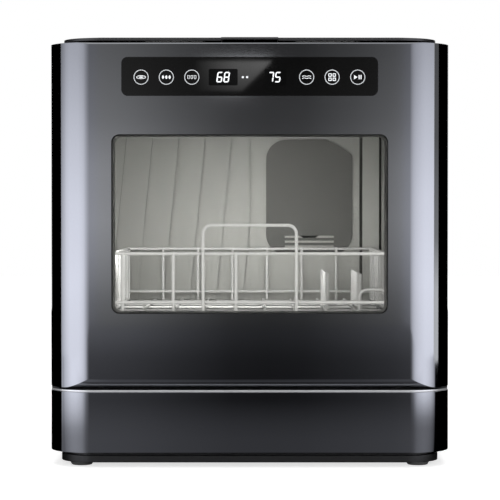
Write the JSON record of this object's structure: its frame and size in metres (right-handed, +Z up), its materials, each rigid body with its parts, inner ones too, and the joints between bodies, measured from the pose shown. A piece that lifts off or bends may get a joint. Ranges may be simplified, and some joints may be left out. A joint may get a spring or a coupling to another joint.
{
  "type": "countertop dishwasher",
  "caption": "Countertop dishwasher with a drop-down glazed door, touch controls, a sliding wire rack, a turning spray arm and a fill lid over a built-in water tank.",
  "frame": {"origin": "on the resting surface, under the middle of the casing", "axes": "+Z up, +X to the right of someone facing the door, -Y towards that person"},
  "size_m": [0.42, 0.435, 0.45],
  "materials": {
    "base_tray": "fine grain",
    "feet": "matt",
    "lower_panel": "satin graphite lacquer",
    "trim_strip": "polished",
    "front_frame": "semi-gloss black",
    "side_panel_left": "semi-gloss black",
    "side_panel_right": "semi-gloss black",
    "rear_cover": "fine grain",
    "top_cover": "gloss",
    "tub_wrap": "satin",
    "tub_back": "satin",
    "vent_cover": "fine grain",
    "tub_floor": "satin",
    "door_seal": "matt",
    "rack_rails": "fine grain",
    "sump": "fine grain",
    "arm_post": "fine grain",
    "wash_pump": "satin",
    "drain_pump": "fine grain",
    "water_heater": "satin",
    "hoses": "matt",
    "hose_spigots": "fine grain",
    "inlet_valve": "fine grain",
    "mains_gland": "fine grain",
    "power_board": "fine grain",
    "water_tank": "fine grain",
    "fill_funnel": "gloss",
    "vent_fan": "fine grain",
    "tub_lamp": "frosted",
    "catch_magnets": "polished",
    "key_switch": "fine grain",
    "hinge_arms": "satin",
    "cabinet_screws": "satin",
    "door_shell": "satin graphite lacquer",
    "door_inner_panel": "satin",
    "window_glass": "clear",
    "window_frame": "fine grain",
    "window_inner_glass": "clear",
    "window_seal": "matt",
    "control_glass": "high gloss black",
    "control_board": "fine grain",
    "display_modules": "fine grain",
    "touch_springs": "bright",
    "hinge_clevises": "rough",
    "hinge_pins": "polished",
    "catch_strikes": "satin",
    "dispenser_cup": "fine grain",
    "door_screws": "satin",
    "dispenser_lid": "gloss",
    "fill_lid": "gloss",
    "release_key": "gloss",
    "key_spring": "satin",
    "spray_arm": "gloss",
    "filter_cup": "satin",
    "rack_front": "light grey nylon coating",
    "rack_back": "light grey nylon coating",
    "rack_sides": "light grey nylon coating",
    "rack_floor": "light grey nylon coating",
    "rack_tines": "light grey nylon coating",
    "rack_glides": "fine grain"
  },
  "bodies": {
    "cabinet": {"base_tray": "base_tray", "feet": "feet", "lower_panel": "lower_panel", "trim_strip": "trim_strip", "front_frame": "front_frame", "side_panel_left": "side_panel_left", "side_panel_right": "side_panel_right", "rear_cover": "rear_cover", "top_cover": "top_cover", "tub_wrap": "tub_wrap", "tub_back": "tub_back", "vent_cover": "vent_cover", "tub_floor": "tub_floor", "door_seal": "door_seal", "rack_rails": "rack_rails", "sump": "sump", "arm_post": "arm_post", "wash_pump": "wash_pump", "drain_pump": "drain_pump", "water_heater": "water_heater", "hoses": "hoses", "hose_spigots": "hose_spigots", "inlet_valve": "inlet_valve", "mains_gland": "mains_gland", "power_board": "power_board", "water_tank": "water_tank", "fill_funnel": "fill_funnel", "vent_fan": "vent_fan", "tub_lamp": "tub_lamp", "catch_magnets": "catch_magnets", "key_switch": "key_switch", "hinge_arms": "hinge_arms", "cabinet_screws": "cabinet_screws"},
    "door": {"door_shell": "door_shell", "door_inner_panel": "door_inner_panel", "window_glass": "window_glass", "window_frame": "window_frame", "window_inner_glass": "window_inner_glass", "window_seal": "window_seal", "control_glass": "control_glass", "control_board": "control_board", "display_modules": "display_modules", "touch_springs": "touch_springs", "hinge_clevises": "hinge_clevises", "hinge_pins": "hinge_pins", "catch_strikes": "catch_strikes", "dispenser_cup": "dispenser_cup", "door_screws": "door_screws"},
    "dispenser_lid": {"dispenser_lid": "dispenser_lid"},
    "fill_lid": {"fill_lid": "fill_lid"},
    "release_key": {"release_key": "release_key", "key_spring": "key_spring"},
    "spray_arm": {"spray_arm": "spray_arm"},
    "filter": {"filter_cup": "filter_cup"},
    "rack": {"rack_front": "rack_front", "rack_back": "rack_back", "rack_sides": "rack_sides", "rack_floor": "rack_floor", "rack_tines": "rack_tines", "rack_glides": "rack_glides"}
  },
  "joints": [
    {"name": "door_hinge", "type": "hinge", "parent": "cabinet", "child": "door", "pos_m": [0, -0.2075, 0.0933], "axis": [1, 0, 0], "range_deg": [0, 90]},
    {"name": "rack_slide", "type": "slide", "parent": "cabinet", "child": "rack", "axis": [0, -1, 0], "range_m": [0, 0.1226]},
    {"name": "spray_spin", "type": "hinge", "parent": "cabinet", "child": "spray_arm", "pos_m": [0, -0.01, 0.1001], "axis": [0, 0, 1], "continuous": true},
    {"name": "filter_twist", "type": "hinge", "parent": "cabinet", "child": "filter", "pos_m": [0, 0.085, 0.1001], "axis": [0, 0, 1], "range_deg": [0, 45]},
    {"name": "dispenser_lid_hinge", "type": "hinge", "parent": "door", "child": "dispenser_lid", "pos_m": [0, -0.1741, 0.1078], "axis": [-1, 0, 0], "range_deg": [0, 80]},
    {"name": "fill_lid_hinge", "type": "hinge", "parent": "cabinet", "child": "fill_lid", "pos_m": [0, 0.1735, 0.4476], "axis": [-1, 0, 0], "range_deg": [0, 100]},
    {"name": "key_press", "type": "slide", "parent": "cabinet", "child": "release_key", "axis": [0, 0, -1], "range_m": [0, 0.0012], "stiffness_N_per_m": 1000, "springref_m": -0.0005, "deforming": ["key_spring"]}
  ],
  "couplings": [
    {"joint": "rack_slide", "follows": "door_hinge", "m_per_rad": 0.077986}
  ]
}
